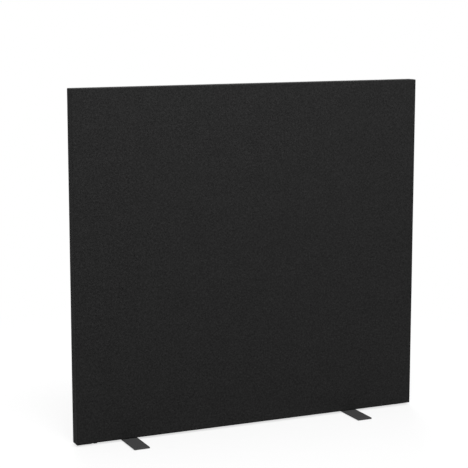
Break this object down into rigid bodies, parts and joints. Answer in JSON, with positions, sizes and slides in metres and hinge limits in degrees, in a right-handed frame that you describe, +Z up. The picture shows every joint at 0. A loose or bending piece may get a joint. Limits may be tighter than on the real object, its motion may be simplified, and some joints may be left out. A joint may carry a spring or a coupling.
{
  "type": "acoustic divider screen",
  "caption": "Free-standing acoustic divider: a flat rectangular panel with an absorber core, upholstered all round in dark cloth, on two flat steel feet laid across beneath it.",
  "frame": {"origin": "on the floor, under the middle of the panel", "axes": "+X to the right along the panel as seen from the front, +Y from the front to the back, +Z up"},
  "size_m": [1.4, 0.3, 1.3],
  "materials": {
    "cover_cloth": "near-black mottled wool-like cloth",
    "fleece": "white needled fleece",
    "absorber": "grey pressed fibre",
    "liner_cloth": "thin black non-woven",
    "softwood": "planed, unfinished",
    "hardboard": "smooth pressed board",
    "foot_steel": "dark grey fine-textured powder coat",
    "bolt_steel": "black oxide",
    "zinc_steel": "zinc plated",
    "pad_rubber": "matt black"
  },
  "bodies": {
    "root": {"front_cover": "cover_cloth", "rear_cover": "cover_cloth", "front_wadding": "fleece", "rear_wadding": "fleece", "top_rail": "softwood", "bottom_rail": "softwood", "left_stile": "softwood", "right_stile": "softwood", "mid_stile": "softwood", "top_rail_screws": "zinc_steel", "bottom_rail_screws": "zinc_steel", "left_barrier_board": "hardboard", "right_barrier_board": "hardboard", "front_left_core": "absorber", "front_right_core": "absorber", "rear_left_core": "absorber", "rear_right_core": "absorber", "cover_staples": "zinc_steel", "bottom_liner": "liner_cloth", "liner_staples": "zinc_steel", "fold_staples": "zinc_steel", "left_foot": "foot_steel", "right_foot": "foot_steel", "left_foot_bolts": "bolt_steel", "right_foot_bolts": "bolt_steel", "left_foot_inserts": "zinc_steel", "right_foot_inserts": "zinc_steel", "left_front_pad": "pad_rubber", "left_rear_pad": "pad_rubber", "right_front_pad": "pad_rubber", "right_rear_pad": "pad_rubber"}
  },
  "joints": []
}
